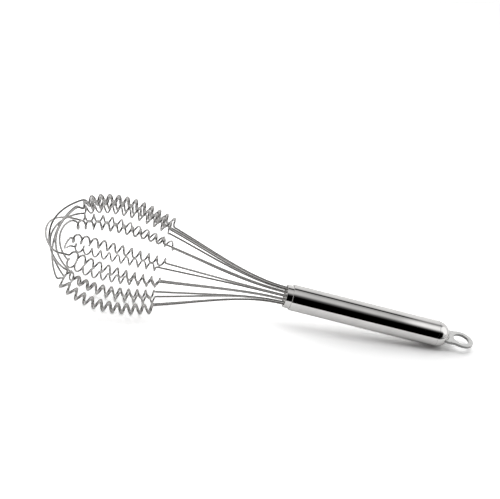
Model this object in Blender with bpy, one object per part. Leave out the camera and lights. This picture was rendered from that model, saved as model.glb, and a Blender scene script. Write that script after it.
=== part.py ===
"""Spiral whisk: seven steel wires, each coiled on both flanks of a balloon, in a tubular handle.

The whisk is drawn along its own axis. The handle's mouth is at x = 0, the handle runs
towards +x and the balloon towards -x. One empty then turns and lifts the whole, so that
it lies on z = 0 on two coiled strands and the domed end of its handle.
"""

import math

import bmesh
import bpy
import numpy as np
from mathutils import Vector

# Handle, in metres
HANDLE_DIAMETER = 0.0180
TUBE_LENGTH = 0.1042
TUBE_WALL = 0.0006
EDGE_CHAMFER = 0.0003
FIT_GAP = 0.0003

# Collar pressed into the tube's front end
COLLAR_SHOWN = 0.0042
COLLAR_SPIGOT = 0.0080
COLLAR_WALL = 0.0006

# Plug that spaces the wires, and the resin cast behind it
PLUG_LENGTH = 0.0080
PLUG_RECESS = 0.0006
PLUG_RIM = 0.0003
RESIN_LENGTH = 0.0260

# Domed end cap
DOME_LENGTH = 0.0091
CAP_WALL = 0.0010
CAP_SPIGOT = 0.0060

# Hanging eye, a stamped plate welded to the dome
EYE_NARROWER_THAN_HANDLE = 0.0005
EYE_HOLE_DIAMETER = 0.0108
EYE_THICKNESS = 0.0018
EYE_NECK_WIDTH = 0.0120
EYE_NECK_FILLET = 0.0060
EYE_CLEAR_OF_DOME = 0.0002
EYE_EDGE_ROUND = 0.0003

# Wire and its places along the axis, counted from the mouth towards the tip
WIRE_DIAMETER = 0.0014
WIRE_SET_DEPTH = 0.0220
COIL_START_PLACE = 0.0860
BELLY_PLACE = 0.1180
COIL_END_PLACE = 0.1466
KNEE_RUN = 0.0050
OUTER_KNEE_RUN = 0.0010

# Balloon radii, measured to the coils' inner side
COIL_START_RADIUS = 0.0280
COIL_START_SLOPE = 0.30
BELLY_RADIUS = 0.0340
COIL_END_RADIUS = 0.0248
COIL_END_SLOPE = -0.75

# Coils and the arcs that cross over the tip
COIL_DIAMETER = 0.0072
COIL_TURNS = 5
# Strands whose coil ends half a turn later, on its outer side
LAST_HALF_TURN = (10, 11, 12)
# Where the loops cross at the tip: the nearest one's distance from the mouth, then a step each
TIP_NEAREST_PLACE = 0.1537
TIP_STEP = 0.0020
TIP_ROUNDNESS = 0.70

# How finely the wire is drawn
FLARE_POINTS = 6
POINTS_PER_TURN = 8
TIP_POINTS = 9
SEGMENTS = 48

# Each loop's two strands leave their even place round the axis by these angles, in degrees
LOOP_LEAN = (
    (3.0, 1.5), (0.5, 1.0), (-4.0, 0.0), (-6.0, -9.0), (-9.5, 4.5), (8.0, -2.5), (5.0, -6.0),
)
FIRST_STRAND_ANGLE = -146.0
# Each loop's number, in the order in which they cross at the tip, nearest to the handle first
TIP_ORDER = (0, 1, 2, 4, 5, 3, 6)

LOOPS = len(LOOP_LEAN)
STRANDS = 2 * LOOPS
STRAND_STEP = 360.0 / STRANDS
HANDLE_RADIUS = HANDLE_DIAMETER / 2
EYE_DIAMETER = HANDLE_DIAMETER - EYE_NARROWER_THAN_HANDLE
TUBE_BORE = HANDLE_RADIUS - TUBE_WALL
COLLAR_RADIUS = TUBE_BORE - FIT_GAP
COLLAR_BORE = COLLAR_RADIUS - COLLAR_WALL
PLUG_RADIUS = COLLAR_BORE - FIT_GAP
WIRE_RADIUS = WIRE_DIAMETER / 2
WIRE_HOLE_RADIUS = WIRE_RADIUS + FIT_GAP
WIRE_CIRCLE_RADIUS = PLUG_RADIUS - PLUG_RIM - WIRE_HOLE_RADIUS
COLLAR_END = COLLAR_SHOWN + COLLAR_SPIGOT
TUBE_END = COLLAR_SHOWN + TUBE_LENGTH
CAP_START = TUBE_END + FIT_GAP
DOME_END = CAP_START + DOME_LENGTH
PLUG_END = PLUG_RECESS + PLUG_LENGTH
COIL_CENTRE = COIL_DIAMETER / 2 - WIRE_RADIUS


def clear_scene():
    for old in list(bpy.data.objects):
        bpy.data.objects.remove(old, do_unlink=True)


def material(name, colour, roughness, metallic):
    made = bpy.data.materials.new(name)
    made.use_nodes = True
    shader = made.node_tree.nodes["Principled BSDF"]
    shader.inputs["Base Color"].default_value = (*colour, 1.0)
    shader.inputs["Roughness"].default_value = roughness
    shader.inputs["Metallic"].default_value = metallic
    return made


def add_object(name, data, finish, parent):
    made = bpy.data.objects.new(name, data)
    bpy.context.scene.collection.objects.link(made)
    made.parent = parent
    if finish:
        data.materials.append(finish)
    return made


def turned(name, profile, closed=True):
    """A solid turned round the x axis from a profile of (x, radius) points.

    A closed profile is a ring's section. An open one starts and ends on the axis.
    """
    shape = bmesh.new()
    rim = [shape.verts.new((x, 0.0, radius)) for x, radius in profile]
    pairs = list(zip(rim, rim[1:]))
    if closed:
        pairs.append((rim[-1], rim[0]))
    edges = [shape.edges.new(pair) for pair in pairs]
    bmesh.ops.spin(
        shape, geom=rim + edges, cent=(0, 0, 0), axis=(1, 0, 0),
        angle=2 * math.pi, steps=SEGMENTS, use_merge=True,
    )
    bmesh.ops.remove_doubles(shape, verts=shape.verts, dist=1e-7)
    bmesh.ops.recalc_face_normals(shape, faces=shape.faces)
    mesh = bpy.data.meshes.new(name)
    shape.to_mesh(mesh)
    shape.free()
    mesh.shade_smooth()
    mesh.set_sharp_from_angle(angle=math.radians(35))
    return mesh


def quarter_oval(x_start, x_reach, radius, steps):
    """Points from (x_start, radius) round to (x_start + x_reach, 0)."""
    angles = [0.5 * math.pi * i / steps for i in range(steps + 1)]
    oval = [(x_start + x_reach * math.sin(a), radius * math.cos(a)) for a in angles[:-1]]
    return oval + [(x_start + x_reach, 0.0)]


def cut(target, cutter, parent):
    """Subtracts one mesh from an object, with the cutter kept as a hidden guide."""
    guide = add_object(target.name + "_" + cutter.name, cutter, None, parent)
    guide.hide_render = True
    guide.display_type = "WIRE"
    step = target.modifiers.new(cutter.name, "BOOLEAN")
    step.operation = "DIFFERENCE"
    step.solver = "EXACT"
    step.object = guide
    return step


def even_angle(strand):
    """The strand's place round the axis at the mouth, in radians."""
    return math.radians(FIRST_STRAND_ANGLE + STRAND_STEP * strand)


def radial(angle):
    """Unit vectors away from the axis: 0 points to -y, a quarter turn to +z."""
    return np.stack([0 * angle, -np.cos(angle), np.sin(angle)], axis=-1)


def rods_through(name, x_start, x_end):
    """The wire holes as one cutter, a round rod for each strand."""
    shape = bmesh.new()
    for strand in range(STRANDS):
        centre = WIRE_CIRCLE_RADIUS * radial(np.array(even_angle(strand)))
        ring = bmesh.ops.create_circle(shape, cap_ends=True, segments=12, radius=WIRE_HOLE_RADIUS)
        bmesh.ops.rotate(
            shape, verts=ring["verts"], cent=(0, 0, 0), matrix=turn_to_x(),
        )
        bmesh.ops.translate(shape, verts=ring["verts"], vec=(x_start, centre[1], centre[2]))
    ends = bmesh.ops.extrude_face_region(shape, geom=shape.faces[:])
    moved = [part for part in ends["geom"] if isinstance(part, bmesh.types.BMVert)]
    bmesh.ops.translate(shape, verts=moved, vec=(x_end - x_start, 0, 0))
    bmesh.ops.recalc_face_normals(shape, faces=shape.faces)
    mesh = bpy.data.meshes.new(name)
    shape.to_mesh(mesh)
    shape.free()
    return mesh


def turn_to_x():
    """Rotation that carries +z to +x."""
    return Vector((0, 0, 1)).rotation_difference(Vector((1, 0, 0))).to_matrix()


def handle_tube(finish, axis):
    outer = HANDLE_RADIUS
    profile = [
        (COLLAR_SHOWN + EDGE_CHAMFER, outer),
        (TUBE_END, outer),
        (TUBE_END, TUBE_BORE),
        (COLLAR_SHOWN, TUBE_BORE),
        (COLLAR_SHOWN, outer - EDGE_CHAMFER),
    ]
    return add_object("handle_tube", turned("handle_tube", profile), finish, axis)


def front_collar(finish, axis):
    profile = [
        (EDGE_CHAMFER, COLLAR_RADIUS),
        (COLLAR_END, COLLAR_RADIUS),
        (COLLAR_END, COLLAR_BORE),
        (0.0, COLLAR_BORE),
        (0.0, COLLAR_RADIUS - EDGE_CHAMFER),
    ]
    return add_object("front_collar", turned("front_collar", profile), finish, axis)


def wire_plug(finish, axis):
    profile = [(PLUG_RECESS, 0), (PLUG_RECESS, PLUG_RADIUS), (PLUG_END, PLUG_RADIUS), (PLUG_END, 0)]
    plug = add_object("wire_plug", turned("wire_plug", profile, closed=False), finish, axis)
    holes = rods_through("wire_holes", PLUG_RECESS - PLUG_LENGTH, PLUG_END + PLUG_LENGTH)
    cut(plug, holes, axis)
    return plug


def resin_seal(finish, axis):
    start = PLUG_END + FIT_GAP
    step = COLLAR_END + FIT_GAP
    end = start + RESIN_LENGTH
    wide = TUBE_BORE - FIT_GAP
    profile = [
        (start, 0), (start, PLUG_RADIUS), (step, PLUG_RADIUS), (step, wide), (end, wide), (end, 0),
    ]
    seal = add_object("resin_seal", turned("resin_seal", profile, closed=False), finish, axis)
    cut(seal, rods_through("wire_sockets", start - PLUG_LENGTH, WIRE_SET_DEPTH + FIT_GAP), axis)
    return seal


def end_cap(finish, axis):
    spigot = TUBE_BORE - FIT_GAP
    inside = spigot - CAP_WALL
    back = CAP_START - CAP_SPIGOT
    outer = quarter_oval(CAP_START, DOME_LENGTH, HANDLE_RADIUS, 10)
    inner = quarter_oval(CAP_START, DOME_LENGTH - CAP_WALL, inside, 8)
    profile = outer[::-1] + [(CAP_START, spigot), (back, spigot), (back, inside)] + inner
    return add_object("end_cap", turned("end_cap", profile, closed=False), finish, axis)


def arc(centre, radius, start, end, steps):
    """Points of an arc in the plate's plane, angles in radians."""
    angles = [start + (end - start) * i / steps for i in range(steps + 1)]
    return [(centre[0] + radius * math.cos(a), centre[1] + radius * math.sin(a)) for a in angles]


def eye_outline(centre):
    """The plate's rim: neck, fillet, round end, and the same again mirrored."""
    radius = EYE_DIAMETER / 2
    half_neck = EYE_NECK_WIDTH / 2
    fillet_y = half_neck + EYE_NECK_FILLET
    reach = radius + EYE_NECK_FILLET
    fillet_x = centre - math.sqrt(reach ** 2 - fillet_y ** 2)
    touch = math.atan2(fillet_y, fillet_x - centre)
    fillet = arc((fillet_x, fillet_y), EYE_NECK_FILLET, 1.5 * math.pi, math.pi + touch, 5)
    round_end = arc((centre, 0.0), radius, touch, 0.0, 16)
    half = [(CAP_START, half_neck)] + fillet + round_end[1:]
    return half + [(x, -y) for x, y in half[-2::-1]]


def hanging_eye(finish, axis):
    centre = DOME_END + EYE_CLEAR_OF_DOME + EYE_DIAMETER / 2
    shape = bmesh.new()
    low = -EYE_THICKNESS / 2
    rim = [shape.verts.new((x, y, low)) for x, y in eye_outline(centre)]
    shape.faces.new(rim)
    top = bmesh.ops.extrude_face_region(shape, geom=shape.faces[:])
    moved = [part for part in top["geom"] if isinstance(part, bmesh.types.BMVert)]
    bmesh.ops.translate(shape, verts=moved, vec=(0, 0, EYE_THICKNESS))
    bmesh.ops.recalc_face_normals(shape, faces=shape.faces)
    mesh = bpy.data.meshes.new("hanging_eye")
    shape.to_mesh(mesh)
    shape.free()
    eye = add_object("hanging_eye", mesh, finish, axis)
    cut(eye, eye_hole(centre), axis)
    seat = quarter_oval(CAP_START, DOME_LENGTH + FIT_GAP, HANDLE_RADIUS + FIT_GAP, 10)
    back = CAP_START - CAP_SPIGOT
    seat = seat[::-1] + [(back, HANDLE_RADIUS + FIT_GAP), (back, 0)]
    cut(eye, turned("dome_seat", seat, closed=False), axis)
    edges = eye.modifiers.new("edges", "BEVEL")
    edges.width = EYE_EDGE_ROUND
    edges.segments = 1
    edges.limit_method = "ANGLE"
    edges.angle_limit = math.radians(50)
    return eye


def eye_hole(centre):
    shape = bmesh.new()
    bmesh.ops.create_cone(
        shape, cap_ends=True, segments=40, depth=3 * EYE_THICKNESS,
        radius1=EYE_HOLE_DIAMETER / 2, radius2=EYE_HOLE_DIAMETER / 2,
    )
    bmesh.ops.translate(shape, verts=shape.verts, vec=(centre, 0, 0))
    mesh = bpy.data.meshes.new("hole")
    shape.to_mesh(mesh)
    shape.free()
    return mesh


def balloon_radius(place):
    """Radius of the coils' inner side at a distance from the mouth towards the tip.

    Cubic pieces between the mouth, the coil's start, the belly and the coil's end, each
    with the radius and the slope that the wire has there.
    """
    places = np.array([0.0, COIL_START_PLACE, BELLY_PLACE, COIL_END_PLACE])
    radii = np.array([WIRE_CIRCLE_RADIUS, COIL_START_RADIUS, BELLY_RADIUS, COIL_END_RADIUS])
    slopes = np.array([0.0, COIL_START_SLOPE, 0.0, COIL_END_SLOPE])
    piece = np.clip(np.searchsorted(places, place, side="right") - 1, 0, 2)
    width = places[piece + 1] - places[piece]
    t = (place - places[piece]) / width
    start = (1 + 2 * t) * (1 - t) ** 2 * radii[piece]
    end = t ** 2 * (3 - 2 * t) * radii[piece + 1]
    start_slope = t * (1 - t) ** 2 * width * slopes[piece]
    end_slope = t ** 2 * (t - 1) * width * slopes[piece + 1]
    return start + end + start_slope + end_slope


def strand_angle(strand, place):
    """Angle round the axis: even at the mouth, leaning by the strand's own angle in the coil."""
    loop = strand % LOOPS
    lean = math.radians(LOOP_LEAN[loop][strand // LOOPS])
    t = np.clip(place / COIL_START_PLACE, 0.0, 1.0)
    return even_angle(strand) + lean * t ** 2 * (3 - 2 * t)


def on_balloon(strand, place):
    """Points of the strand's inner line at distances from the mouth towards the tip."""
    out = radial(strand_angle(strand, place))
    along = np.stack([-place, 0 * place, 0 * place], axis=-1)
    return along + balloon_radius(place)[:, None] * out


def coil(strand, turns, points_per_turn):
    """The coiled stretch: a left-handed helix that lies on the balloon's inner line.

    Each point is the inner line's point, moved out by the coil's radius and round it by
    the turn's angle, so the wire leaves and meets the inner line at its two ends.
    """
    count = int(turns * points_per_turn)
    fine = np.linspace(COIL_START_PLACE, COIL_END_PLACE, 400)
    line = on_balloon(strand, fine)
    path = np.concatenate([[0.0], np.cumsum(np.linalg.norm(np.diff(line, axis=0), axis=1))])
    share = np.arange(count + 1) / count
    place = np.interp(share * path[-1], path, fine)
    step = 1e-5
    forward = on_balloon(strand, place + step) - on_balloon(strand, place - step)
    forward /= np.linalg.norm(forward, axis=1, keepdims=True)
    side = np.cross(forward, radial(strand_angle(strand, place)))
    side /= np.linalg.norm(side, axis=1, keepdims=True)
    out = np.cross(side, forward)
    turn = 2 * math.pi * turns * share[:, None]
    lifted = COIL_CENTRE * (1 - np.cos(turn)) * out + COIL_CENTRE * np.sin(turn) * side
    return on_balloon(strand, place) + lifted


def strand_route(strand, turns=COIL_TURNS, points_per_turn=POINTS_PER_TURN):
    """One strand from its end in the resin to the knee where it turns over the tip.

    Three strands end with half a turn more, so their knee is on the coil's outer side.
    """
    set_end = np.array([[WIRE_SET_DEPTH, 0.0, 0.0]])
    set_end = set_end + WIRE_CIRCLE_RADIUS * radial(np.array([even_angle(strand)]))
    flare = on_balloon(strand, np.linspace(0.0, COIL_START_PLACE, FLARE_POINTS))
    more, run = (0.5, OUTER_KNEE_RUN) if strand in LAST_HALF_TURN else (0.0, KNEE_RUN)
    wound = coil(strand, turns + more, points_per_turn)
    knee = wound[-1] + np.array([-run, 0.0, 0.0])
    return np.concatenate([set_end, flare[:-1], wound, [knee]])


def tip_arc(start, end, crossing, points):
    """The wire from knee to knee: a straight chord, bulged to its crossing place at the tip."""
    share = np.linspace(-1.0, 1.0, points + 2)[1:-1, None]
    chord = 0.5 * (start + end) + 0.5 * (end - start) * share
    bulge = crossing + 0.5 * (start[0] + end[0])
    return chord - np.array([bulge, 0.0, 0.0]) * (1 - share ** 2) ** TIP_ROUNDNESS


def loop_route(loop):
    first = strand_route(loop)
    last = strand_route(loop + LOOPS)[::-1]
    crossing = TIP_NEAREST_PLACE + TIP_STEP * TIP_ORDER.index(loop)
    return np.concatenate([first, tip_arc(first[-1], last[0], crossing, TIP_POINTS), last])


def wire_loop(loop, finish, axis):
    name = "wire_loop_" + str(loop + 1)
    curve = bpy.data.curves.new(name, "CURVE")
    curve.dimensions = "3D"
    curve.bevel_depth = WIRE_RADIUS
    curve.bevel_resolution = 1
    curve.use_fill_caps = True
    route = loop_route(loop)
    spline = curve.splines.new("POLY")
    spline.points.add(len(route) - 1)
    for point, place in zip(spline.points, route):
        point.co = (*place, 1.0)
    spline.use_smooth = True
    return add_object(name, curve, finish, axis)


def fine_route(route, step=0.0004):
    """The route with extra points every step, and each point's distance along it."""
    path = np.concatenate([[0.0], np.cumsum(np.linalg.norm(np.diff(route, axis=0), axis=1))])
    along = np.arange(0.0, path[-1], step)
    return np.stack([np.interp(along, path, route[:, k]) for k in range(3)], axis=1), along


def least_gap(route_a, route_b=None):
    """Least clear distance between two wires, or of one wire to itself a turn away."""
    a, along_a = fine_route(route_a)
    b, along_b = fine_route(route_b) if route_b is not None else (a, along_a)
    least = math.inf
    for begin in range(0, len(a), 200):
        block = a[begin:begin + 200]
        apart = np.linalg.norm(block[:, None, :] - b[None, :, :], axis=2)
        if route_b is None:
            near = abs(along_a[begin:begin + 200, None] - along_b[None, :]) < 4 * WIRE_DIAMETER
            apart[near] = math.inf
        least = min(least, apart.min())
    return least - WIRE_DIAMETER


def report_gaps():
    """Prints the least gap of every wire to itself and to its neighbours."""
    routes = [loop_route(loop) for loop in range(LOOPS)]
    for loop, route in enumerate(routes):
        print("wire_loop", loop + 1, "gap to itself mm", round(1000 * least_gap(route), 2))
    for a in range(LOOPS):
        gaps = [round(1000 * least_gap(routes[a], routes[b]), 2) for b in range(a + 1, LOOPS)]
        print("wire_loop", a + 1, "gaps to the next loops mm", gaps)


def world_points(pieces):
    """Every vertex of the finished pieces, in world space."""
    graph = bpy.context.evaluated_depsgraph_get()
    clouds = []
    for piece in pieces:
        shown = piece.evaluated_get(graph)
        mesh = shown.to_mesh()
        flat = np.empty(3 * len(mesh.vertices))
        mesh.vertices.foreach_get("co", flat)
        shown.to_mesh_clear()
        turn = np.array(piece.matrix_world)
        clouds.append(flat.reshape(-1, 3) @ turn[:3, :3].T + turn[:3, 3])
    return clouds


def lay_down(axis, pieces, handle_pieces):
    """Turns the whisk until balloon and handle both touch z = 0, then centres it there."""
    clouds = world_points(pieces)
    names = [piece.name for piece in pieces]
    held = [cloud for name, cloud in zip(names, clouds) if name in handle_pieces]
    wires = [cloud for name, cloud in zip(names, clouds) if name not in handle_pieces]
    handle = np.concatenate(held)
    balloon = np.concatenate(wires)
    low, high = 0.0, math.radians(30)
    for _ in range(50):
        angle = 0.5 * (low + high)
        drop = np.array([-math.sin(angle), math.cos(angle)])
        if (balloon[:, [0, 2]] @ drop).min() < (handle[:, [0, 2]] @ drop).min():
            low = angle
        else:
            high = angle
    axis.rotation_euler = (0.0, angle, 0.0)
    bpy.context.view_layer.update()
    everything = np.concatenate(world_points(pieces))
    least, most = everything.min(axis=0), everything.max(axis=0)
    middle = 0.5 * (least + most)
    axis.location = (-middle[0], -middle[1], -least[2])
    bpy.context.view_layer.update()
    print("lay angle deg", round(math.degrees(angle), 3), "size mm", np.round(1000 * (most - least), 2))


def build():
    clear_scene()
    steel = material("polished_steel", (0.66, 0.65, 0.64), 0.06, 1.0)
    wire_steel = material("wire_steel", (0.60, 0.59, 0.57), 0.20, 1.0)
    stamped = material("stamped_steel", (0.72, 0.72, 0.71), 0.35, 1.0)
    plastic = material("pale_plastic", (0.78, 0.77, 0.74), 0.50, 0.0)
    resin = material("clear_resin", (0.75, 0.70, 0.58), 0.40, 0.0)
    axis = bpy.data.objects.new("whisk_axis", None)
    bpy.context.scene.collection.objects.link(axis)
    handle = [
        handle_tube(steel, axis),
        front_collar(steel, axis),
        wire_plug(plastic, axis),
        resin_seal(resin, axis),
        end_cap(steel, axis),
        hanging_eye(stamped, axis),
    ]
    wires = [wire_loop(loop, wire_steel, axis) for loop in range(LOOPS)]
    bpy.context.view_layer.update()
    lay_down(axis, handle + wires, {piece.name for piece in handle})
    report_gaps()


build()
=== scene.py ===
# %% [markdown]
# # A spiral whisk, dressed on its frame
# The whisk is seven steel wires, coiled like springs on both flanks of a balloon, set in a
# mirror-polished tubular handle with a domed end and a flat hanging eye. The frame brings the
# simple solids. This notebook lays fine surfaces over them and gives each one its metal.
# Everything is in metres, and the whisk lies on z = 0.

import math

import bmesh
import bpy
import numpy as np
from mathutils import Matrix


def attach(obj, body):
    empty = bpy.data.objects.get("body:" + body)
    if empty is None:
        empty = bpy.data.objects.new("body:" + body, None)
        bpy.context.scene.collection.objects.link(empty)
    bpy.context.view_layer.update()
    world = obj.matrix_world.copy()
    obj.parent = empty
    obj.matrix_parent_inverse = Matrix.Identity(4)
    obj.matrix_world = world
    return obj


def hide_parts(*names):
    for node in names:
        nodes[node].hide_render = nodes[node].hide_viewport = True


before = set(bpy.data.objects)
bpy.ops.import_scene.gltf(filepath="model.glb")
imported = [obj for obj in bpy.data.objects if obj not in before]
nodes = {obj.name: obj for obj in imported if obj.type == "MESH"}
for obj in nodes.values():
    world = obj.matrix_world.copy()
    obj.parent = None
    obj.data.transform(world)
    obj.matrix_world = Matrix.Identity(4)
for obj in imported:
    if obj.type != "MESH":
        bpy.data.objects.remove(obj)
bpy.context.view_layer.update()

# %% [markdown]
# ## Where the handle lies
# The whisk rests on its balloon and on its domed end, so its axis leans a few degrees.
# The lean could be typed in, but measured it stays right if the frame changes. The tube's own
# points tell the axis: a long tube varies most along it, and the direction of greatest
# variance is the first row that a singular value decomposition returns.

# %% Read the axis from the tube
HANDLE_RADIUS = 0.0090
TUBE_FRONT = 0.0042
TUBE_END = 0.1084


def node_points(name):
    """Every point of a frame node, as an array with a row for each."""
    mesh = nodes[name].data
    flat = np.empty(3 * len(mesh.vertices))
    mesh.vertices.foreach_get("co", flat)
    return np.unique(flat.reshape(-1, 3).round(7), axis=0)


tube_points = node_points("handle_tube")
tube_middle = tube_points.mean(axis=0)
along = np.linalg.svd(tube_points - tube_middle, full_matrices=False)[2][0]
along = np.array([along[0], 0.0, along[2]])
along *= np.sign(along[0]) / np.linalg.norm(along)
shares = (tube_points - tube_middle) @ along
tube_front = tube_middle + along * shares.min()
mouth = tube_front - along * TUBE_FRONT
lift = np.array([-along[2], 0.0, along[0]])
AXES = np.stack([along, np.array([0.0, 1.0, 0.0]), lift])
print("lean in degrees", round(math.degrees(math.asin(-along[2])), 3), "mouth", mouth.round(5))
print("tube length", round(float(np.ptp(shares)), 5), "wanted", round(TUBE_END - TUBE_FRONT, 5))


def place(points):
    """Points on the whisk's own axes, carried to where it lies: mouth + x along + y side + z lift."""
    return mouth + np.asarray(points) @ AXES


# %% [markdown]
# ## One helper for every surface
# Blender's own primitives and modifiers could make some of these pieces, but a computed
# surface has its points where the shape needs them. A surface here is a grid of points: rows
# run one way, columns the other. Four neighbours make a face. Where a grid closes on itself,
# its last row or column is joined to the first. Points that fall together, as at the pole of
# a dome, are merged, and a flat end is closed with one polygon.

# %% Grid to mesh
MERGE_DISTANCE = 1e-7
SHARP_DEGREES = 40


def grid_faces(rows, columns, close_rows, close_columns):
    """Corner numbers of each face: (r, c), (r, c + 1), (r + 1, c + 1), (r + 1, c), wrapped."""
    r = np.arange(rows if close_rows else rows - 1)[:, None]
    c = np.arange(columns if close_columns else columns - 1)[None, :]
    r1, c1 = (r + 1) % rows, (c + 1) % columns
    corners = [r * columns + c, r * columns + c1, r1 * columns + c1, r1 * columns + c]
    return np.stack(corners, axis=-1).reshape(-1, 4)


def mesh_from_grid(name, grid, close_rows=False, close_columns=True, caps=False, uv=None):
    """A mesh object from a grid of points with shape (rows, columns, 3)."""
    rows, columns = grid.shape[:2]
    faces = grid_faces(rows, columns, close_rows, close_columns)
    mesh = bpy.data.meshes.new(name)
    mesh.vertices.add(rows * columns)
    mesh.vertices.foreach_set("co", grid.reshape(-1).astype(np.float32))
    mesh.loops.add(faces.size)
    mesh.loops.foreach_set("vertex_index", faces.reshape(-1).astype(np.int32))
    mesh.polygons.add(len(faces))
    mesh.polygons.foreach_set("loop_start", np.arange(0, faces.size, 4, dtype=np.int32))
    mesh.update(calc_edges=True)
    if uv is not None:
        layer = mesh.uv_layers.new(name="surface")
        layer.data.foreach_set("uv", uv_corners(uv, faces, columns).reshape(-1))
    tidy(mesh, caps)
    made = bpy.data.objects.new(name, mesh)
    bpy.context.scene.collection.objects.link(made)
    return made


def uv_corners(step, faces, columns):
    """Each corner's place on the unrolled surface: column share across, row distance along."""
    row, column = np.divmod(faces, columns)
    wraps = column[:, [0, 3]] == columns - 1
    column = column.astype(float)
    column[:, [1, 2]] = np.where(wraps, columns, column[:, [1, 2]])
    return np.stack([column / columns, step[row]], axis=-1).astype(np.float32)


def tidy(mesh, caps):
    """Merges points that fall together, closes flat ends if asked and turns faces outwards."""
    shape = bmesh.new()
    shape.from_mesh(mesh)
    bmesh.ops.remove_doubles(shape, verts=shape.verts, dist=MERGE_DISTANCE)
    if caps:
        rims = [edge for edge in shape.edges if edge.is_boundary]
        bmesh.ops.holes_fill(shape, edges=rims)
    bmesh.ops.recalc_face_normals(shape, faces=shape.faces)
    shape.to_mesh(mesh)
    shape.free()
    mesh.shade_smooth()
    mesh.set_sharp_from_angle(angle=math.radians(SHARP_DEGREES))


def report(piece):
    """Prints a finished piece's size, so that each cell tells what it made."""
    faces = len(piece.data.polygons)
    size = [round(1000 * side, 2) for side in piece.dimensions]
    print(piece.name, "faces", faces, "size in mm", size)


print("a grid of 4 by 6 points that closes one way has", len(grid_faces(4, 6, False, True)), "faces")


# %% [markdown]
# ## Camera
# The camera stands where the photographer did: about seventy centimetres from the whisk,
# thirty degrees above the table, with a long lens. Its three angles come from matching the
# handle's edges and the eye's hole, which is surer than turning them until the picture looks
# right, because a long lens hides small errors.

# %% Set the camera
CAMERA_PLACE = (-0.0416, -0.5879, 0.39195)
CAMERA_TURNS = (60.0, -7.623, 1.62)
LENS_MM = 73.7
SENSOR_MM = 36.0

camera_data = bpy.data.cameras.new("camera")
camera_data.lens = LENS_MM
camera_data.sensor_width = SENSOR_MM
camera = bpy.data.objects.new("camera", camera_data)
camera.location = CAMERA_PLACE
camera.rotation_euler = [math.radians(turn) for turn in CAMERA_TURNS]
bpy.context.scene.collection.objects.link(camera)
bpy.context.scene.camera = camera
bpy.context.scene.view_settings.view_transform = "Standard"
print("camera at", [round(v, 3) for v in camera.location])

# %% [markdown]
# ## Node trees without clutter
# Every material below is a chain of nodes. It could be drawn by hand in the Shader Editor, but
# then this file couldn't make it again. A few small helpers add a node and join it, so that a
# finish reads from top to bottom.

# %% Node helpers


class Tree:
    """Adds nodes to one node tree. A socket given as an input is linked, a number is set."""

    def __init__(self, tree):
        self.tree = tree

    def outputs(self, kind, inputs=None, **settings):
        """Adds a node and returns all its outputs."""
        node = self.tree.nodes.new("ShaderNode" + kind)
        for key, value in settings.items():
            setattr(node, key, value)
        for key, value in (inputs or {}).items():
            self.join(value, node.inputs[key])
        return node.outputs

    def add(self, kind, inputs=None, out=0, **settings):
        """Adds a node and returns one of its outputs."""
        return self.outputs(kind, inputs, **settings)[out]

    def join(self, value, socket):
        """Links a socket to the input, or sets the input to a number or a colour."""
        if isinstance(value, bpy.types.NodeSocket):
            self.tree.links.new(value, socket)
        else:
            socket.default_value = value

    def finish(self, kind, shade):
        """Adds the node that ends the tree and joins the finished shade to it."""
        self.join(shade, self.tree.nodes.new("ShaderNode" + kind).inputs[0])

    def math(self, operation, a, b=0.0, clamp=False):
        """One sum on one or two values."""
        return self.add("Math", {0: a, 1: b}, operation=operation, use_clamp=clamp)

    def along(self, vector, direction):
        """How far a vector reaches along a direction."""
        return self.add("VectorMath", {0: vector, 1: list(direction)}, out=1, operation="DOT_PRODUCT")

    def spread(self, value, low, high, to_low=0.0, to_high=1.0):
        """Carries low to high over to the new range, easing in and out, and stops at its ends."""
        inputs = {0: value, 1: low, 2: high, 3: to_low, 4: to_high}
        return self.add("MapRange", inputs, interpolation_type="SMOOTHSTEP")

    def blend(self, share, a, b):
        """Colour a at share 0, colour b at share 1. A colour mix has them at sockets 0, 6 and 7."""
        node = self.tree.nodes.new("ShaderNodeMix")
        node.data_type = "RGBA"
        self.join(share, node.inputs[0])
        self.join(a, node.inputs[6])
        self.join(b, node.inputs[7])
        return node.outputs[2]

    def tones(self, value, stops):
        """A grey ramp. Each stop is an angle, in degrees of a half circle, and a tone."""
        node = self.tree.nodes.new("ShaderNodeValToRGB")
        entries = node.color_ramp.elements
        while len(entries) < len(stops):
            entries.new(0.5)
        for entry, (degrees, tone) in zip(entries, stops):
            entry.position = degrees / 180.0
            entry.color = grey(tone)
        self.join(value, node.inputs[0])
        return node.outputs[0]


def grey(tone):
    """A neutral colour, where 1 is white."""
    return (tone, tone, tone, 1.0)


def new_material(name):
    """A material, its tree's helper and the sockets of the shader that it starts with."""
    made = bpy.data.materials.new(name)
    made.use_nodes = True
    return made, Tree(made.node_tree), made.node_tree.nodes["Principled BSDF"].inputs


print("node helpers ready")

# %% [markdown]
# ## Studio
# A mirror shows its room, so the room is half of the picture. The photographer worked in a
# white tent with a soft box above and a dark front behind the camera. Seen in the handle,
# from its upper edge down, that is: white back wall, a thin dark joint, the soft box fading
# towards the front, the dark front as a black band, and the white table. Real walls could be
# modelled, but each would also change the light on the table. So the world draws the room for
# mirrored rays alone. A ray's angle round the whisk's length, counted from the front up and
# over to the back, picks the tone. Towards the domed end the tent is brighter.

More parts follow.
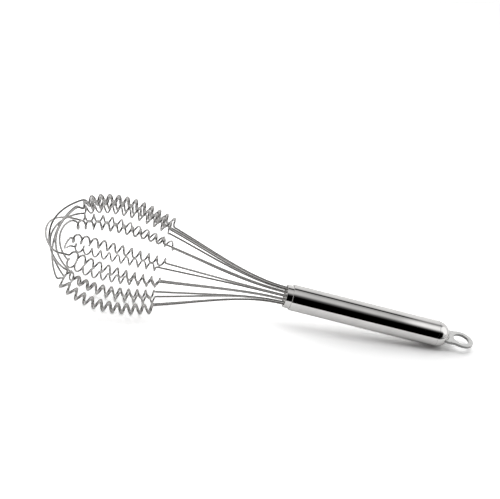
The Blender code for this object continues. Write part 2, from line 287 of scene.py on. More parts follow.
# %% The tent's tones
# Each pair is an angle in degrees and a tone
DARK_FRONT = ((0.0, 0.0), (43.0, 0.0), (50.5, 0.07))
MIDDLE_BOX = ((57.0, 0.18), (66.5, 0.60), (73.5, 0.78), (84.0, 0.78), (100.0, 0.60), (107.0, 0.40))
MIDDLE_JOINT = ((111.5, 0.0), (118.5, 0.0))
END_BOX = ((57.0, 0.38), (66.5, 1.1), (74.0, 1.35), (89.0, 1.35), (100.0, 0.95), (107.0, 0.55))
END_JOINT = ((112.0, 0.35), (118.0, 0.35))
BACK_WALL = ((125.0, 0.55), (132.0, 0.93), (140.0, 1.0), (180.0, 1.06))
# How far a ray leans endways where the tent's next part fades in
END_BOX_FADES_IN = (0.32, 0.38)
END_WALL_FADES_IN = (0.70, 0.82)
FAR_WALL_FADES_OUT = (-0.80, -0.65)
WALL_TONE = 0.85
# The bright panel that the dome shows as a white oval, and how closely a ray points at it
PANEL_TOWARD = 0.79 * AXES[0] + 0.09 * AXES[1] + 0.60 * AXES[2]
PANEL_FADES_IN = (0.86, 0.93)
PANEL_TONE = 1.5


def tent(t, heading, front, endways):
    """Tone = f(atan2(up, front)), blended along the whisk by how far the ray leans endways."""
    up = t.along(heading, AXES[2])
    turn = t.math("DIVIDE", t.math("ARCTAN2", up, front), math.pi, clamp=True)
    middle = t.tones(turn, DARK_FRONT + MIDDLE_BOX + MIDDLE_JOINT + BACK_WALL)
    end = t.tones(turn, DARK_FRONT + END_BOX + END_JOINT + BACK_WALL)
    room = t.blend(t.spread(endways, *END_BOX_FADES_IN), middle, end)
    room = t.blend(t.spread(endways, *END_WALL_FADES_IN), room, grey(WALL_TONE))
    towards_panel = t.along(heading, PANEL_TOWARD)
    room = t.blend(t.spread(towards_panel, *PANEL_FADES_IN), room, grey(PANEL_TONE))
    return t.blend(t.spread(endways, *FAR_WALL_FADES_OUT), grey(WALL_TONE), room)


print("stops in the tent's tones", len(DARK_FRONT + MIDDLE_BOX + MIDDLE_JOINT + BACK_WALL))

# %% [markdown]
# ## Light from the tent
# What lights dull surfaces is kept apart from what the mirror shows. It is one soft light,
# strongest from above and behind and gone in front, so the shadow under the tool is deep and
# close. More lamps could give it, but each would add a shadow and a highlight of its own. The
# camera sees the tent as plain white.

# %% World
SOFT_ABOVE = 1.15
SOFT_FRONT = 0.0
SOFT_FADES_OUT = (-0.3, 0.6)


def build_world():
    """The tent for mirrored rays, soft light for dull surfaces, and white for the camera."""
    world = bpy.data.worlds.new("tent")
    bpy.context.scene.world = world
    world.use_nodes = True
    world.node_tree.nodes.clear()
    t = Tree(world.node_tree)
    heading = t.outputs("TexCoord")["Generated"]
    front = t.along(heading, -AXES[1])
    endways = t.along(heading, AXES[0])
    rays = t.outputs("LightPath")
    soft = t.blend(t.spread(front, *SOFT_FADES_OUT), grey(SOFT_ABOVE), grey(SOFT_FRONT))
    seen = t.blend(rays["Is Camera Ray"], soft, grey(1.0))
    colour = t.blend(rays["Is Glossy Ray"], seen, tent(t, heading, front, endways))
    t.finish("OutputWorld", t.add("Background", {0: colour, 1: 1.0}))


build_world()
print("tent built, soft light", SOFT_ABOVE, "from above and", SOFT_FRONT, "from the front")

# %% [markdown]
# ## Lamp
# One soft lamp above, a little towards the camera, gives the shadow its shape. A sun would do
# that too, but with a hard edge. The lamp is kept out of the mirror, because the tent already
# draws its soft box there.

# %% Lamp
LAMP_SIZE = 0.6
LAMP_HEIGHT = 1.3
LAMP_FORWARD = 0.25
LAMP_WATTS = 4.0

lamp_data = bpy.data.lights.new("soft_box", "AREA")
lamp_data.shape = "SQUARE"
lamp_data.size = LAMP_SIZE
lamp_data.energy = LAMP_WATTS
lamp = bpy.data.objects.new("soft_box", lamp_data)
lamp.location = (0.0, -LAMP_FORWARD, LAMP_HEIGHT)
lamp.visible_glossy = False
bpy.context.scene.collection.objects.link(lamp)
print("lamp", LAMP_WATTS, "watts at", LAMP_HEIGHT, "m")

# %% [markdown]
# ## Table
# The table is one large white plane. It ends in the dark front, along a slanted edge that
# shows in the handle as the lower side of the black band. A plane cut off there would leave
# the picture's lower half without a floor, so the plane goes on, and for mirrored rays alone a
# painted reflection turns it black beyond that edge. Beside the eye that painted reflection
# stays white, as the dome shows. For the camera the table carries painted light, brighter than
# paper and strongest under the balloon, so only the close shadow is seen on it.

# %% Table
TABLE_REACH = 12.0
TABLE_EDGE = -0.135
TABLE_SLANT = 0.62
EDGE_SOFTNESS = 0.012
WHITE_PAST_X = (0.18, 0.22)
WHITE_PAST_Y = (-0.18, -0.10)
# Painted reflection: the table's tone in the mirror behind its slanted edge, black past it
PAINTED_REFLECTION_TONE = 1.12
PAPER_TONE = 0.95
# Painted light for the camera, strongest under the balloon, where it washes out the shadow
BALLOON_END_PAINTED_LIGHT = 1.9
HANDLE_END_PAINTED_LIGHT = 1.34
PAINTED_LIGHT_CHANGES_AT_X = (-0.04, 0.08)


def table_white():
    """Painted reflection for mirrored rays: white where y > edge + slant x or beside the eye, else black.
    Painted light for the camera, else paper.
    """
    made, t, _ = new_material("table_white")
    t.tree.nodes.clear()
    spot = t.outputs("TexCoord")["Object"]
    x, y = t.along(spot, (1.0, 0.0, 0.0)), t.along(spot, (0.0, 1.0, 0.0))
    past_edge = t.along(spot, (-TABLE_SLANT, 1.0, 0.0))
    behind = t.spread(past_edge, TABLE_EDGE - EDGE_SOFTNESS, TABLE_EDGE + EDGE_SOFTNESS)
    beside = t.math("MULTIPLY", t.spread(x, *WHITE_PAST_X), t.spread(y, *WHITE_PAST_Y))
    # Painted reflection: black past the slanted edge, bright behind it and beside the eye
    mirrored = t.blend(t.math("MAXIMUM", behind, beside), grey(0.0), grey(PAINTED_REFLECTION_TONE))
    # Painted light: the camera sees the table brighter than white, most at the balloon's end
    painted_light = t.blend(t.spread(x, *PAINTED_LIGHT_CHANGES_AT_X), grey(BALLOON_END_PAINTED_LIGHT), grey(HANDLE_END_PAINTED_LIGHT))
    rays = t.outputs("LightPath")
    paper_and_painted_light = t.blend(rays["Is Camera Ray"], grey(PAPER_TONE), painted_light)
    colour = t.blend(rays["Is Glossy Ray"], paper_and_painted_light, mirrored)
    t.finish("OutputMaterial", t.add("BsdfDiffuse", {0: colour}))
    return made


corner_signs = np.array([[[-1, -1, 0], [1, -1, 0]], [[-1, 1, 0], [1, 1, 0]]], float)
table = mesh_from_grid("table", TABLE_REACH * corner_signs, close_columns=False)
table.data.materials.append(table_white())
if table.data.polygons[0].normal.z < 0:
    table.data.flip_normals()
print("table reaches", TABLE_REACH, "m each way")

# %% [markdown]
# ## Metals
# All the metal is stainless steel, and what sets the pieces apart is how it was finished.
# The handle is buffed to a mirror: very low roughness, varied a little where it has been
# held, and hair-fine lines left by the buffing wheel. The wire keeps the streaks that the
# drawing die left along it. The eye was stamped and tumbled, so it is dull and finely
# grained, and its colour is darker on its edges and on the hole's wall. A photograph of steel
# would blur close up. So the patterns are noise, on object coordinates or on the wire's own
# unrolled surface.

# %% Metal helper
CLOUD_GRAIN = 0.12
CLOUD_DARK = 0.93
CLOUD_LIGHT = 1.04
CLOUD_REACH = (0.35, 0.65)
NOISE_REACH = (0.3, 0.7)
RELIEF_DEPTH = 0.0001


def tinted(tone, share):
    """A colour times a number."""
    return tuple(share * c for c in tone) + (1.0,)


def metal(name, tone, roughness, varies, grain, bump, coords="Object", stretch=(1, 1, 1), edge_tone_share=None):
    """Steel: broad noise varies tone and roughness, and a finer stretched one makes the bump.

    Where the last argument is given, the height of the UV map says how far a face is an edge,
    and that argument is the share of the tone left there, so edges and walls come out darker.
    """
    made, t, sockets = new_material(name)
    places = t.outputs("TexCoord")
    cloud = t.add("TexNoise", {"Vector": places[coords], "Scale": grain * CLOUD_GRAIN, "Detail": 3.0})
    mapped = t.add("Mapping", {"Vector": places[coords], "Scale": stretch})
    lines = t.add("TexNoise", {"Vector": mapped, "Scale": grain, "Detail": 4.0, "Roughness": 0.6})
    darker, lighter = tinted(tone, CLOUD_DARK), tinted(tone, CLOUD_LIGHT)
    colour = t.blend(t.spread(cloud, *CLOUD_REACH), darker, lighter)
    # Darker on the edges and the hole's wall, by the height of the UV map
    if edge_tone_share is not None:
        edge_share = t.add("SeparateXYZ", {"Vector": places["UV"]}, out=1)
        colour = t.blend(edge_share, colour, tinted(tone, edge_tone_share))
    t.join(colour, sockets["Base Color"])
    mixed = t.math("ADD", t.math("MULTIPLY", cloud, 0.5), t.math("MULTIPLY", lines, 0.5))
    rough = t.spread(mixed, *NOISE_REACH, roughness - varies, roughness + varies)
    t.join(rough, sockets["Roughness"])
    t.join(1.0, sockets["Metallic"])
    relief = t.add("Bump", {"Strength": bump, "Distance": RELIEF_DEPTH, "Height": lines})
    t.join(relief, sockets["Normal"])
    return made


print("a metal's tone varies from", CLOUD_DARK, "to", CLOUD_LIGHT, "of its own")

# %% The three steels
# A noise that is scaled up less one way than the others draws lines along that way
ALONG_BUFFING = (1.0, 14.0, 14.0)
ALONG_WIRE = (5.0, 0.25, 1.0)

polished = metal(
    "polished_steel", (0.66, 0.65, 0.64), roughness=0.055, varies=0.02, grain=350.0, bump=0.012,
    stretch=ALONG_BUFFING,
)
stamped = metal(
    "stamped_steel", (0.62, 0.62, 0.61), roughness=0.30, varies=0.06, grain=2600.0, bump=0.20,
    edge_tone_share=0.40,
)
drawn_wire = metal(
    "wire_steel", (0.47, 0.46, 0.45), roughness=0.14, varies=0.04, grain=9.0, bump=0.10,
    coords="UV", stretch=ALONG_WIRE,
)
print("metals", polished.name, stamped.name, drawn_wire.name)

# %% [markdown]
# ## Plastic and resin
# The plug in the mouth is a moulded disc of natural, uncoloured plastic. The resin behind it
# is never seen. It could be left plain, but anyone who takes the whisk apart will look at it,
# so it gets its honey colour too. Both are noise between two near tones, with fine pores.

# %% Plastic and resin
PORE_GRAIN = 12
PORE_STRENGTH = 0.15


def moulded(name, light, dark, roughness, grain):
    """A moulded surface: noise blends two tones, and a finer noise roughens it like a mould."""
    made, t, sockets = new_material(name)
    place_on_piece = t.outputs("TexCoord")["Object"]
    cloud = t.add("TexNoise", {"Vector": place_on_piece, "Scale": grain, "Detail": 3.0})
    colour = t.blend(t.spread(cloud, *NOISE_REACH), tinted(dark, 1.0), tinted(light, 1.0))
    t.join(colour, sockets["Base Color"])
    t.join(roughness, sockets["Roughness"])
    pores = t.add("TexNoise", {"Vector": place_on_piece, "Scale": PORE_GRAIN * grain, "Detail": 2.0})
    relief = t.add("Bump", {"Strength": PORE_STRENGTH, "Distance": RELIEF_DEPTH, "Height": pores})
    t.join(relief, sockets["Normal"])
    return made


plug_plastic = moulded("pale_plastic", (0.80, 0.79, 0.76), (0.72, 0.71, 0.68), roughness=0.50, grain=300.0)
resin = moulded("clear_resin", (0.78, 0.72, 0.58), (0.70, 0.63, 0.48), roughness=0.40, grain=150.0)
nodes["resin_seal"].data.materials.clear()
nodes["resin_seal"].data.materials.append(resin)
print("materials", plug_plastic.name, resin.name)

# %% [markdown]
# ## Turned pieces
# Tube, collar, cap and plug are round, so each is a profile carried once round the axis, as on
# a lathe. A sharp edge catches no light and looks false. A Bevel modifier could round it, but
# one width for all edges is too much for a thin wall and too little for a rim. So each corner
# of a profile is rounded with its own short arc before it is turned.

# %% Round a profile's corners and turn it


def rounded(profile, radii, steps=5):
    """Each corner replaced by an arc that touches both sides.

    The arc of radius r starts r / tan(a / 2) before the corner, where a is the corner's
    inner angle, and is drawn as a blend of the two sides' directions.
    """
    points = np.array(profile, float)
    made = []
    for i, radius in enumerate(radii):
        corner, before, after = points[i], points[i - 1], points[(i + 1) % len(points)]
        if radius == 0.0:
            made.append(corner[None])
            continue
        u = (before - corner) / np.linalg.norm(before - corner)
        v = (after - corner) / np.linalg.norm(after - corner)
        half = 0.5 * math.acos(np.clip(u @ v, -1.0, 1.0))
        centre = corner + (u + v) / np.linalg.norm(u + v) * radius / math.sin(half)
        start = corner + u * radius / math.tan(half) - centre
        end = corner + v * radius / math.tan(half) - centre
        share = np.linspace(0.0, 1.0, steps)[:, None]
        mix = start * (1 - share) + end * share
        made.append(centre + radius * mix / np.linalg.norm(mix, axis=1, keepdims=True))
    return np.concatenate(made)


def turned(name, profile, closed, steps=192):
    """Point (x, r) of the profile at angle a goes to (x, -r cos a, r sin a)."""
    angle = np.linspace(0.0, 2 * math.pi, steps, endpoint=False)
    x = np.repeat(profile[:, :1], steps, axis=1)
    y = -profile[:, 1:] * np.cos(angle)
    z = profile[:, 1:] * np.sin(angle)
    return mesh_from_grid(name, place(np.stack([x, y, z], axis=-1)), close_rows=closed)


def finish_piece(piece, finish, slot, *stands_for):
    """Gives a piece its finish and its body, and hides the frame nodes that it stands for. The slot is not
    used.
    """
    piece.data.materials.append(finish)
    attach(piece, "root")
    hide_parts(*stands_for)
    report(piece)


square = [(0.0, 1.0), (1.0, 1.0), (1.0, 2.0), (0.0, 2.0)]
print("points of a square with one rounded corner", len(rounded(square, [0.1, 0.0, 0.0, 0.0])))

# %% [markdown]
# ## Handle tube
# A seamless steel tube, 18 mm across with a wall of 0.6 mm. A Cylinder would do from afar, but
# it has no wall and no rolled edge, so the wall's section is turned instead. Its front edge is
# rounded where it meets the collar, and its back edge only just, so the joint to the cap is a
# faint line.

# %% Handle tube
WALL = 0.0006
BORE = HANDLE_RADIUS - WALL
tube_profile = rounded(
    [(TUBE_FRONT, BORE), (TUBE_FRONT, HANDLE_RADIUS), (TUBE_END, HANDLE_RADIUS), (TUBE_END, BORE)],
    radii=[0.0001, 0.00028, 0.00004, 0.0001],
)
tube = turned("polished_tube", tube_profile, closed=True)
finish_piece(tube, polished, "polished_steel", "handle_tube")

# %% [markdown]
# ## Collar
# A short ring in the tube's mouth, nearly 2 mm narrower than the tube. It is a section turned
# like the tube's, so the step between the two is real and shows as a line in the mirror. Its
# rim is rounded outside and inside, because the wires pass close to it.

# %% Collar
COLLAR_RADIUS = 0.0081
COLLAR_BORE = 0.0075
COLLAR_END = 0.0122
collar_profile = rounded(
    [(0.0, COLLAR_BORE), (0.0, COLLAR_RADIUS), (COLLAR_END, COLLAR_RADIUS), (COLLAR_END, COLLAR_BORE)],
    radii=[0.00022, 0.00028, 0.0001, 0.0001],
)
collar = turned("mouth_collar", collar_profile, closed=True)
finish_piece(collar, polished, "polished_steel", "front_collar")

# %% [markdown]
# ## Domed cap
# The dome is half an oval, drawn from a sheet and pressed into the tube. A flattened UV sphere
# would give the outside. A turned profile gives the hollow inside and the short skirt too, in
# one closed surface. From outside the cap is one with the tube but for a hairline.

# %% Domed cap
CAP_SEAM = 0.00004
DOME_START = TUBE_END + 0.0003
DOME_LENGTH = 0.0091
DOME_END = DOME_START + DOME_LENGTH
CAP_WALL = 0.0010
SKIRT = 0.0060
SKIRT_RADIUS = BORE - 0.0003
DOME_POINTS = 40
HOLLOW_POINTS = 24


def oval(x_start, x_reach, radius, steps):
    """Quarter oval: (x_start + x_reach sin a, radius cos a) for a from nought to a right angle."""
    a = np.linspace(0.0, 0.5 * math.pi, steps)
    return np.stack([x_start + x_reach * np.sin(a), radius * np.cos(a)], axis=1)


cap_front = TUBE_END + CAP_SEAM
outside = oval(cap_front, DOME_END - cap_front, HANDLE_RADIUS, DOME_POINTS)[::-1]
outside[0, 1] = 0.0
skirt = rounded(
    [(cap_front, HANDLE_RADIUS), (cap_front, SKIRT_RADIUS), (cap_front - SKIRT, SKIRT_RADIUS),
     (cap_front - SKIRT, SKIRT_RADIUS - CAP_WALL), (cap_front, SKIRT_RADIUS - CAP_WALL)],
    radii=[0.0, 0.0, 0.0002, 0.0002, 0.0],
)[1:]
hollow_reach = DOME_END - cap_front - CAP_WALL
inside = oval(cap_front, hollow_reach, SKIRT_RADIUS - CAP_WALL, HOLLOW_POINTS)[1:]
inside[-1, 1] = 0.0
cap_profile = np.concatenate([outside, skirt, inside])
cap = turned("domed_cap", cap_profile, closed=False)
finish_piece(cap, polished, "polished_steel", "end_cap")

# %% [markdown]
# ## Plug
# A moulded disc fills the collar, and the wires pass through it. Its face sits a little below
# the rim. Its holes could be cut with a Boolean, but the wires fill them, so a plain disc with
# a rounded edge is all that can be seen of it.

# %% Plug
PLUG_FACE = 0.0006
PLUG_BACK = 0.0086
PLUG_RADIUS = 0.00745
plug_profile = rounded(
    [(PLUG_FACE, 0.0), (PLUG_FACE, PLUG_RADIUS), (PLUG_BACK, PLUG_RADIUS), (PLUG_BACK, 0.0)],
    radii=[0.0, 0.0002, 0.0002, 0.0],
)
plug = turned("mouth_plug", plug_profile, closed=False, steps=96)
finish_piece(plug, plug_plastic, "pale_plastic", "wire_plug")

# %% [markdown]
# ## Hanging eye
# A flat plate, 1.8 mm thick, stamped with a round hole and welded to the dome by a wide
# neck. It could be a filled curve with a bevel, which leaves long thin triangles on the flats.
# As a surface it has two parameters. One runs round the hole. The other runs across the
# plate's section: up the hole's wall, over the flat top, down the outer edge and back along
# the flat underside. Each edge of the section is a small arc.

# %% The plate's outline
EYE_DIAMETER = 0.0175
EYE_HOLE = 0.0108
EYE_THICKNESS = 0.0018
NECK_WIDTH = 0.0150
NECK_FILLET = 0.0120
EYE_CENTRE = DOME_END + 0.0002 + EYE_DIAMETER / 2
WELD_GAP = 0.00004
FILLET_POINTS = 12
ROUND_POINTS = 60


def arc(centre, radius, start, end, steps):
    """Points centre + radius (cos a, sin a) for a from start to end."""
    a = np.linspace(start, end, steps)
    return np.stack([centre[0] + radius * np.cos(a), centre[1] + radius * np.sin(a)], axis=1)


def plate_outline():
    """Half outline from the dome's skin along neck, fillet and ring, then mirrored."""
    radius = EYE_DIAMETER / 2
    fillet_y = NECK_WIDTH / 2 + NECK_FILLET
    fillet_x = EYE_CENTRE - math.sqrt((radius + NECK_FILLET) ** 2 - fillet_y ** 2)
    touch = math.atan2(fillet_y, fillet_x - EYE_CENTRE)
    fillet = arc((fillet_x, fillet_y), NECK_FILLET, 1.5 * math.pi, math.pi + touch, FILLET_POINTS)
    ring = arc((EYE_CENTRE, 0.0), radius, touch, 0.0, ROUND_POINTS)
    on_dome = oval(DOME_START, DOME_LENGTH + WELD_GAP, HANDLE_RADIUS + WELD_GAP, ROUND_POINTS)
    skin = on_dome[on_dome[:, 1] < NECK_WIDTH / 2][::-1]
    fillet = fillet[fillet[:, 0] > skin[-1, 0]]
    half = np.concatenate([skin, fillet, ring[1:]])
    return np.concatenate([half, half[-2:0:-1] * [1, -1]])


outline = plate_outline()
bearing = np.unwrap(np.arctan2(outline[:, 1], outline[:, 0] - EYE_CENTRE))
print("outline points", len(outline), "bearings fall steadily", bool((np.diff(bearing) < 0).all()))

# %% The plate as a surface
HOLE_POINTS = 240
ROUND_EDGE = 0.00032
EDGE_POINTS = 6
ACROSS_THE_FLAT = (0.35, 0.5, 0.65)
WALL_FACTOR = 3.0


def plate_surface():
    """Grid of (section, bearing). Between hole and outline a point is hole + share (outline - hole).

    The second value says for each row how far it is an edge: 0 on the flats, 1 on the walls. It
    is three times how far the row lies from its flat, as a share of half the thickness, up to 1.
    """
    turn = np.linspace(-math.pi, math.pi, HOLE_POINTS, endpoint=False)
    reach = np.linalg.norm(outline - [EYE_CENTRE, 0.0], axis=1)
    outer = np.interp(turn, bearing, reach, period=2 * math.pi)
    hole = np.full_like(outer, EYE_HOLE / 2)
    half_high = EYE_THICKNESS / 2
    bend = np.linspace(0.0, 0.5 * math.pi, EDGE_POINTS)
    inward = ROUND_EDGE * (1 - np.sin(bend))
    height = half_high - ROUND_EDGE * (1 - np.cos(bend))
    at_hole = [(hole + a, h) for a, h in zip(inward, height)][::-1]
    on_flat = [(hole + (outer - hole) * share, half_high) for share in ACROSS_THE_FLAT]
    at_rim = [(outer - a, h) for a, h in zip(inward, height)]
    upper = at_hole + on_flat + at_rim
    lower = [(radius, -h) for radius, h in upper[::-1]]
    radii = np.stack([radius for radius, _ in upper + lower])
    heights = np.array([h for _, h in upper + lower])[:, None]
    x = EYE_CENTRE + radii * np.cos(turn)
    y = radii * np.sin(turn)
    off_flat = 1.0 - abs(heights[:, 0]) / half_high
    edge = np.clip(WALL_FACTOR * off_flat, 0.0, 1.0)
    return place(np.stack([x, y, heights + 0 * x], axis=-1)), edge


plate, edge = plate_surface()
eye = mesh_from_grid("stamped_eye", plate, close_rows=True, uv=edge)
finish_piece(eye, stamped, "stamped_steel", "hanging_eye")

# %% [markdown]
# ## The wires' path
# This is the shape that makes the whisk. Each wire leaves the handle, flares out, winds ten or
# eleven turns round an unseen line on the balloon, bends, crosses the tip, and comes back
# the same way on the other side. A Screw modifier, bent by a Curve modifier, comes near such a
# coil, but its turns crowd together where the curve bends. Here the path is computed. The
# unseen line is one smooth curve of balloon radius against distance from the mouth, and each
# strand keeps its own bearing round the axis. Real strands stand a little unevenly. How much
# was found by laying computed strands over the photograph, and rounded.

# %% Balloon and strands
MM = 0.001
WIRE_RADIUS = 0.0007
WIRE_SET_DEPTH = 0.0220
WIRE_CIRCLE = 0.0059
COIL_PLACES = (0.0860, 0.1466)
KNOT_PLACES = np.array([0.0, COIL_PLACES[0], 0.1180, COIL_PLACES[1]])
KNOT_RADII = np.array([WIRE_CIRCLE, 0.0280, 0.0340, 0.0248])
KNOT_SLOPES = np.array([0.0, 0.30, 0.0, -0.75])
COIL_CENTRE = 0.00270
LOOPS = 7
STRAND_STEP = 180.0 / LOOPS
FIRST_STRAND = -146.0
LINE_POINTS = 600

# Each strand's own way: bearing off its even place at the coil's start and end, in degrees, the
# coil's start and end off their common places, in millimetres, and the turns of the coil
STRANDS = (
    (2.0, 3.0, 2.5, -1.0, 10.0),
    (-2.5, 2.5, -0.5, 1.0, 11.0),
    (-0.5, -7.0, -1.5, -2.5, 10.0),
    (-1.5, -7.5, -0.5, 0.5, 11.0),
    (-12.5, -10.0, -1.0, 1.5, 11.25),
    (9.0, 5.5, 1.0, -2.0, 11.0),
    (1.5, 8.0, -0.5, -4.5, 10.5),
    (0.5, 3.0, -1.0, -2.0, 11.0),
    (-0.5, -5.0, 3.0, -1.5, 11.25),
    (3.0, 1.0, 0.5, -4.0, 10.75),
    (-8.5, -7.5, -1.5, -3.5, 11.25),
    (7.0, 2.5, 4.0, 0.5, 11.25),
    (-3.5, -4.5, 0.0, -2.0, 11.0),
    (-6.5, -15.0, -6.0, -2.0, 11.0),
)
# Each loop's way over the tip: distance of the crossing from the mouth, how blunt the arc is,
# its sway aside and along, in millimetres, and the straight run at its two knees
TIPS = (
    (151.0, 0.70, 4.5, -1.0, 3.5, 2.5),
    (155.6, 0.75, 0.0, 1.5, 0.2, 2.0),
    (158.0, 0.90, 1.0, -2.0, 0.2, 4.0),
    (163.3, 0.95, -0.5, 2.5, 0.2, 2.0),
    (159.3, 0.88, 0.0, 0.5, 0.7, 2.0),
    (161.6, 0.72, -1.0, 1.5, 0.7, 0.2),
    (165.4, 0.65, 2.0, 4.0, 8.0, 6.5),
)


def balloon_radius(s):
    """Cubic Hermite pieces: each runs from one knot's radius and slope to the next one's."""
    i = np.clip(np.searchsorted(KNOT_PLACES, s, side="right") - 1, 0, 2)
    w = KNOT_PLACES[i + 1] - KNOT_PLACES[i]
    t = (s - KNOT_PLACES[i]) / w
    level = (1 + 2 * t) * (1 - t) ** 2 * KNOT_RADII[i] + t ** 2 * (3 - 2 * t) * KNOT_RADII[i + 1]
    slope = t * (1 - t) ** 2 * KNOT_SLOPES[i] + t ** 2 * (t - 1) * KNOT_SLOPES[i + 1]
    return level + w * slope


def radial(angle):
    """Unit vectors away from the axis: (0, -cos a, sin a)."""
    return np.stack([0 * angle, -np.cos(angle), np.sin(angle)], axis=-1)


def coil_places(strand):
    """Where the strand's coil starts and ends, as distances from the mouth."""
    start, end = STRANDS[strand][2:4]
    return COIL_PLACES[0] + MM * start, COIL_PLACES[1] + MM * end


def strand_bearing(strand, s):
    """Even at the mouth, eased to the strand's first lean at the coil, then straight to its last."""
    first, last = STRANDS[strand][:2]
    start, end = coil_places(strand)
    t = np.clip(s / start, 0.0, 1.0)
    q = np.clip((s - start) / (end - start), 0.0, 1.0)
    lean = first * t ** 2 * (3 - 2 * t) + (last - first) * q
    return np.radians(FIRST_STRAND + STRAND_STEP * strand + lean)


def inner_line(strand, s):
    """The unseen line that a strand winds on: (-s, 0, 0) + balloon radius x outward."""
    back = np.stack([-s, 0 * s, 0 * s], axis=-1)
    return back + balloon_radius(s)[:, None] * radial(strand_bearing(strand, s))


line = inner_line(0, np.linspace(*coil_places(0), LINE_POINTS))
coil_run = np.linalg.norm(np.diff(line, axis=0), axis=1).sum() / MM
print("coiled stretch in mm", round(coil_run, 1), "pitch", round(coil_run / STRANDS[0][4], 2))

# %% [markdown]
# ## Coil, knee and tip
# A coil is a circle carried along the line: outward times one minus cosine, sideways times
# sine, so it starts and ends on the line itself. The knees are bends of a few millimetres,
# as a former leaves them. Each bend could be an arc of its own, fitted between its
# neighbours. A running average along the whole path, with a bell curve for its weights,
# rounds every corner at once.

# %% One wire's path
FLARE_POINTS = 120
POINTS_PER_TURN = 44
TIP_POINTS = 90
NUDGE = 1e-5
SAMPLE = 0.00035
SOFTEN = 0.0005


def coil(strand):
    """line + c (1 - cos t) outward + c sin t sideways, with t spread evenly along the line."""
    turns = STRANDS[strand][4]
    count = int(turns * POINTS_PER_TURN)
    fine = np.linspace(*coil_places(strand), LINE_POINTS)
    line = inner_line(strand, fine)
    run = np.concatenate([[0.0], np.cumsum(np.linalg.norm(np.diff(line, axis=0), axis=1))])
    share = np.arange(count + 1) / count
    s = np.interp(share * run[-1], run, fine)
    forward = inner_line(strand, s + NUDGE) - inner_line(strand, s - NUDGE)
    forward /= np.linalg.norm(forward, axis=1, keepdims=True)
    side = np.cross(forward, radial(strand_bearing(strand, s)))
    side /= np.linalg.norm(side, axis=1, keepdims=True)
    out = np.cross(side, forward)
    t = 2 * math.pi * turns * share[:, None]
    return inner_line(strand, s) + COIL_CENTRE * ((1 - np.cos(t)) * out + np.sin(t) * side)


def strand_path(strand, knee_run):
    """From the wire's end in the resin to the knee where it turns over the tip."""
    deep = inner_line(strand, np.array([0.0])) + [WIRE_SET_DEPTH, 0.0, 0.0]
    flare = inner_line(strand, np.linspace(0.0, coil_places(strand)[0], FLARE_POINTS))
    wound = coil(strand)
    knee = wound[-1:] + [-MM * knee_run, 0.0, 0.0]
    return np.concatenate([deep, flare[:-1], wound, knee])


def tip_arc(start, end, crossing, blunt, aside, skew):
    """Straight chord from knee to knee, bulged by (1 - q^2)^n, where q runs from -1 to 1.

    The sway is a parabola, 1 - q^2, across the chord and along it.
    """
    q = np.linspace(-1.0, 1.0, TIP_POINTS + 2)[1:-1, None]
    chord = 0.5 * (start + end) + 0.5 * (end - start) * q
    bulge = MM * crossing + 0.5 * (start[0] + end[0])
    level = (end - start) * [0.0, 1.0, 1.0]
    level /= np.linalg.norm(level)
    sway = MM * (aside * np.cross([1.0, 0.0, 0.0], level) + skew * level)
    return chord - np.array([bulge, 0.0, 0.0]) * (1 - q ** 2) ** blunt + sway * (1 - q ** 2)


def even_path(points, step):
    """The same path with a point every step along it."""
    run = np.concatenate([[0.0], np.cumsum(np.linalg.norm(np.diff(points, axis=0), axis=1))])
    s = np.linspace(0.0, run[-1], int(run[-1] / step))
    return np.stack([np.interp(s, run, column) for column in points.T], axis=1), s


def loop_path(loop):
    """Strand, tip and strand as one path, where point i is a mean weighted by exp(-d d / 2 w w)."""
    *shape, first_run, last_run = TIPS[loop]
    first = strand_path(loop, first_run)
    last = strand_path(loop + LOOPS, last_run)[::-1]
    path, s = even_path(np.concatenate([first, tip_arc(first[-1], last[0], *shape), last]), SAMPLE)
    reach = int(3 * SOFTEN / SAMPLE)
    window = np.exp(-0.5 * (np.arange(-reach, reach + 1) * SAMPLE / SOFTEN) ** 2)
    padded = np.pad(path, ((reach, reach), (0, 0)), mode="reflect", reflect_type="odd")
    soft = [np.convolve(column, window / window.sum(), mode="valid") for column in padded.T]
    return np.stack(soft, axis=1), s


paths = [loop_path(loop) for loop in range(LOOPS)]
print("wire lengths in mm", [round(1000 * s[-1]) for _, s in paths])

# %% [markdown]
# ## From path to wire
# A curve with a round bevel would make a tube too. Made as a grid, the tube also carries the
# distance along the wire, which the drawn streaks follow. It needs a frame that slides along
# the path without spinning. The small turn from each direction to the next is a 3 x 3 matrix,
# and the frame at a point is the product of all the turns before it. That running product is
# built in eleven doublings: each round multiplies every matrix by the one 1, 2, 4, 8 and so
# on places before it.

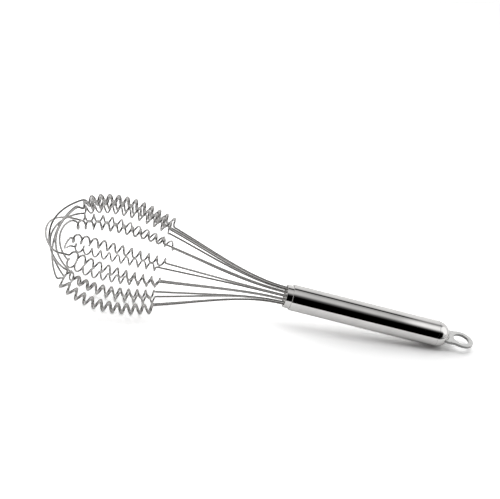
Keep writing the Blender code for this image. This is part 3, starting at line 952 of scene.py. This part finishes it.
# %% Sweep a circle along a path
WIRE_SIDES = 14
ANY_SIDE = [0.0, 0.3, 1.0]


def turns_between(direction):
    """Matrices that carry each unit direction to the next: I + K + K K / (1 + a . b)."""
    a, b = direction[:-1], direction[1:]
    v = np.cross(a, b)
    k = np.zeros((len(v), 3, 3))
    k[:, 0, 1], k[:, 0, 2], k[:, 1, 2] = -v[:, 2], v[:, 1], -v[:, 0]
    k[:, 1, 0], k[:, 2, 0], k[:, 2, 1] = v[:, 2], -v[:, 1], v[:, 0]
    dot = (a * b).sum(axis=1)[:, None, None]
    return np.eye(3) + k + k @ k / (1 + dot)


def running_product(turns):
    """Product of all matrices up to each place, by doubling the reach each round."""
    total, reach = turns.copy(), 1
    while reach < len(total):
        total[reach:] = total[reach:] @ total[:-reach].copy()
        reach *= 2
    return total


def swept(name, path, s):
    """Ring at each point: centre + r (cos a n + sin a b), with n and b carried along."""
    direction = np.gradient(path, axis=0)
    direction /= np.linalg.norm(direction, axis=1, keepdims=True)
    first = np.cross(direction[0], ANY_SIDE)
    first /= np.linalg.norm(first)
    turns = running_product(turns_between(direction))
    n = np.concatenate([first[None], turns @ first])
    n -= (n * direction).sum(axis=1, keepdims=True) * direction
    n /= np.linalg.norm(n, axis=1, keepdims=True)
    b = np.cross(direction, n)
    a = np.linspace(0.0, 2 * math.pi, WIRE_SIDES, endpoint=False)
    ring = np.cos(a)[None, :, None] * n[:, None, :] + np.sin(a)[None, :, None] * b[:, None, :]
    grid = place(path[:, None, :] + WIRE_RADIUS * ring)
    return mesh_from_grid(name, grid, caps=True, uv=1000 * s)


print("faces round each wire", WIRE_SIDES)

# %% [markdown]
# ## The seven wires
# Seven lengths of spring-hard wire follow one another round the handle. They could be one
# mesh, but the real whisk has seven, so each is a piece of its own. Each runs unbroken from
# the resin through its coil, over the tip and back.

# %% Make the wires
for loop, (path, s) in enumerate(paths):
    wire = swept("spiral_wire_" + str(loop + 1), path, s)
    finish_piece(wire, drawn_wire, "wire_steel", "wire_loop_" + str(loop + 1))
